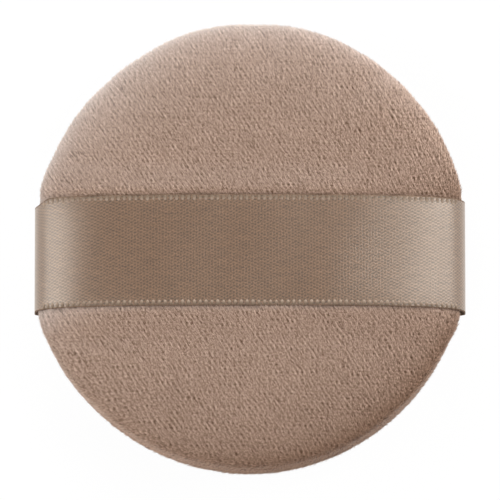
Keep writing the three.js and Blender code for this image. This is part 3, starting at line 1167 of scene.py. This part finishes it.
satinRibbon, ribbonLength = makeRibbon()
selvedge = makeSelvedge()
followStrap(satinRibbon)
followStrap(selvedge)
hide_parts("ribbon_strap")
beadFaces = len(selvedge.data.polygons)
print("ribbon: satin", round(ribbonLength * 1000, 1), "mm long, with", beadFaces, "bead faces")


# Filling and threads, inside the covers
filling = {
    "foam": (0.82, 0.74, 0.58, 1),
    "foamCell": 0.0009,
    "foamRound": 0.06,  # of its edge, as a share of the radius
    "fibre": (0.86, 0.84, 0.8, 1),
    "fibreClump": 0.0012,
    "thread": (0.27, 0.19, 0.14, 1),
    "threadPly": 0.0006,
    "domePower": 0.8333,
    "ringsDown": 34,
    "stepsAround": 96,
}


def makeFillingFinish(name, color, shade, grain, stretch):
    material, tree, shader = newMaterial(name, **{"Roughness": 0.95, "Specular IOR Level": 0.2})
    place = addNode(tree, "ShaderNodeTexCoord").outputs["Object"]
    spread = addVector(tree, "MULTIPLY", place, tuple(s / grain for s in stretch))
    cells = addNoise(tree, spread, 1.0, 3.0).outputs["Fac"]
    dark = tuple(c * shade for c in color[:3]) + (1,)
    tone = mixColor(tree, mapRange(tree, cells, 0.35, 0.6), dark, color)
    tree.links.new(tone, shader.inputs["Base Color"])
    tree.links.new(addBump(tree, cells, 0.6, grain * 0.5), shader.inputs["Normal"])
    return material


foamFinish = makeFillingFinish(
    "open cell foam", filling["foam"], 0.6, filling["foamCell"], (1, 1, 1)
)
fibreFinish = makeFillingFinish(
    "fibre wadding", filling["fibre"], 0.75, filling["fibreClump"], (1, 0.25, 0.6)
)
threadFinish = makeFillingFinish(
    "twisted thread", filling["thread"], 0.5, filling["threadPly"], (1.6, 1.6, 0.5)
)


def makeFilling(name, node, finish, profile, lump):
    # a round layer: profile gives (share of the radius, share of the height) from its top to its underside
    low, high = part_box(node)
    line = evenSteps(profile, filling["ringsDown"])[0]
    around = filling["stepsAround"]
    turns = np.arange(around) * 2 * math.pi / around
    points = [np.array([[0, 0, line[0][1]]])]
    for reach, height in line[1:-1]:
        wobble = 1 - lump * reach * (0.5 + 0.5 * np.sin(7 * turns + 9 * height) * np.sin(4 * turns + 2))
        ring = np.stack([reach * np.cos(turns) * wobble, reach * np.sin(turns) * wobble], axis=1)
        points.append(np.column_stack([ring, np.full(around, height)]))
    points.append(np.array([[0, 0, line[-1][1]]]))
    points = np.concatenate(points) * (high.x, high.y, high.z - low.z) + (0, 0, low.z)
    made = newMesh(name, points, ringFaces(around, len(line) - 2, len(points) - 1))
    made.data.materials.append(finish)
    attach(made, "puff")
    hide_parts(node)


def domeProfile(upward):
    line = []
    for step in range(41):
        turn = math.pi / 2 * step / 40
        reach, height = math.sin(turn), max(math.cos(turn), 0)
        line.append((reach ** filling["domePower"], height ** filling["domePower"]))
    line += [(0.96, 0.0), (0.5, 0.02), (0.0, 0.02)]
    return line if upward else [(reach, 1 - height) for reach, height in line[::-1]]


def slabProfile(edge):
    line = [(0.0, 1.0)]
    for step in range(13):
        turn = math.pi * step / 12
        line.append((1 - edge + edge * math.sin(turn), 0.5 + 0.5 * math.cos(turn)))
    return line + [(0.0, 0.0)]


makeFilling("foam_pad", "foam_core", foamFinish, slabProfile(filling["foamRound"]), 0.004)
makeFilling("back_fibre", "back_wadding", fibreFinish, domeProfile(True), 0.012)
makeFilling("face_fibre", "face_wadding", fibreFinish, domeProfile(False), 0.012)
for node in ("rim_seam_thread", "closing_thread"):
    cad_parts[node].material_slots[0].material = threadFinish
print("filling: foam, two fibre layers and the seam threads")


# Table, light and camera
studio = {
    "floor": (0.8, 0.8, 0.8, 1),
    "whiteShare": 0.95,  # how much of the table's look to the camera is plain white
    "tableHalf": 3,
    "sky": 0.23,
    "key": {"place": (-0.165, 0.777, 0.423), "size": (0.6, 0.5), "power": 5.9},
    "back": {"place": (0.474, 0.759, 0.094), "size": (0.6, 0.15), "power": 5.0},
    "left": {"place": (-0.816, 0.0, 0.38), "size": (0.6, 0.8), "power": 5.9},
    "right": {"place": (0.703, 0.188, 0.529), "size": (0.5, 1.25), "power": 8.2},
    "front": {"place": (-0.17, -0.636, 0.614), "size": (0.65, 0.65), "power": 5.5},
}
photo = {
    "elevation": 82.0,
    "distance": 1.25,
    "width": 0.0898,  # of what the picture shows at the aim
    "aim": (0.0, -0.00028, 0.0125),
    "sensor": 36,
}


def makeFloor():
    half = studio["tableHalf"]
    corners = [(-half, -half, 0), (half, -half, 0), (half, half, 0), (-half, half, 0)]
    floor = newMesh("table", corners, [(0, 1, 2, 3)], False)
    material = bpy.data.materials.new("white table")
    material.use_nodes = True
    tree = material.node_tree
    tree.nodes.clear()
    matt = addNode(tree, "ShaderNodeBsdfDiffuse", {"Color": studio["floor"]})
    plain = addNode(tree, "ShaderNodeEmission", {"Color": (1, 1, 1, 1), "Strength": 1.0})
    rays = addNode(tree, "ShaderNodeLightPath")
    seen = addMath(tree, "MAXIMUM", rays.outputs["Is Camera Ray"], rays.outputs["Is Glossy Ray"])
    seen = addMath(tree, "MAXIMUM", seen, rays.outputs["Is Transmission Ray"])
    share = addMath(tree, "MULTIPLY", seen, studio["whiteShare"])
    both = addNode(tree, "ShaderNodeMixShader", {0: share, 1: matt.outputs[0], 2: plain.outputs[0]})
    addNode(tree, "ShaderNodeOutputMaterial", {"Surface": both.outputs[0]})
    floor.data.materials.append(material)


def makeLight(name, settings):
    lamp = bpy.data.lights.new(name, "AREA")
    lamp.shape = "RECTANGLE"
    lamp.size, lamp.size_y = settings["size"]
    lamp.energy = settings["power"]
    thing = placeObject(name, lamp)
    thing.location = settings["place"]
    aim = Vector((0, 0, seamZ)) - Vector(settings["place"])
    thing.rotation_euler = aim.to_track_quat("-Z", "Y").to_euler()


def makeWorld():
    world = bpy.data.worlds.new("soft room")
    bpy.context.scene.world = world
    world.use_nodes = True
    tree = world.node_tree
    sky = tree.nodes["Background"]
    sky.inputs["Color"].default_value = (1, 1, 1, 1)
    sky.inputs["Strength"].default_value = studio["sky"]
    plain = addNode(tree, "ShaderNodeBackground", {"Color": (1, 1, 1, 1), "Strength": 1.0})
    rays = addNode(tree, "ShaderNodeLightPath")
    seen = rays.outputs["Is Camera Ray"]
    both = addNode(tree, "ShaderNodeMixShader", {0: seen, 1: sky.outputs[0], 2: plain.outputs[0]})
    tree.links.new(both.outputs[0], tree.nodes["World Output"].inputs["Surface"])


def makeCamera():
    camera = placeObject("photo_camera", bpy.data.cameras.new("photo_camera"))
    tilt = math.radians(photo["elevation"])
    aim = Vector(photo["aim"])
    camera.location = aim + Vector((0, -math.cos(tilt), math.sin(tilt))) * photo["distance"]
    camera.rotation_euler = (aim - camera.location).to_track_quat("-Z", "Y").to_euler()
    camera.data.sensor_width = photo["sensor"]
    camera.data.lens = photo["sensor"] * photo["distance"] / photo["width"]
    camera.data.clip_start = 0.01
    bpy.context.scene.camera = camera


makeFloor()
for name in ("key", "back", "left", "right", "front"):
    makeLight(name + "_light", studio[name])
makeWorld()
makeCamera()
bpy.context.scene.view_settings.view_transform = "Standard"
print("studio: table, lights and camera")
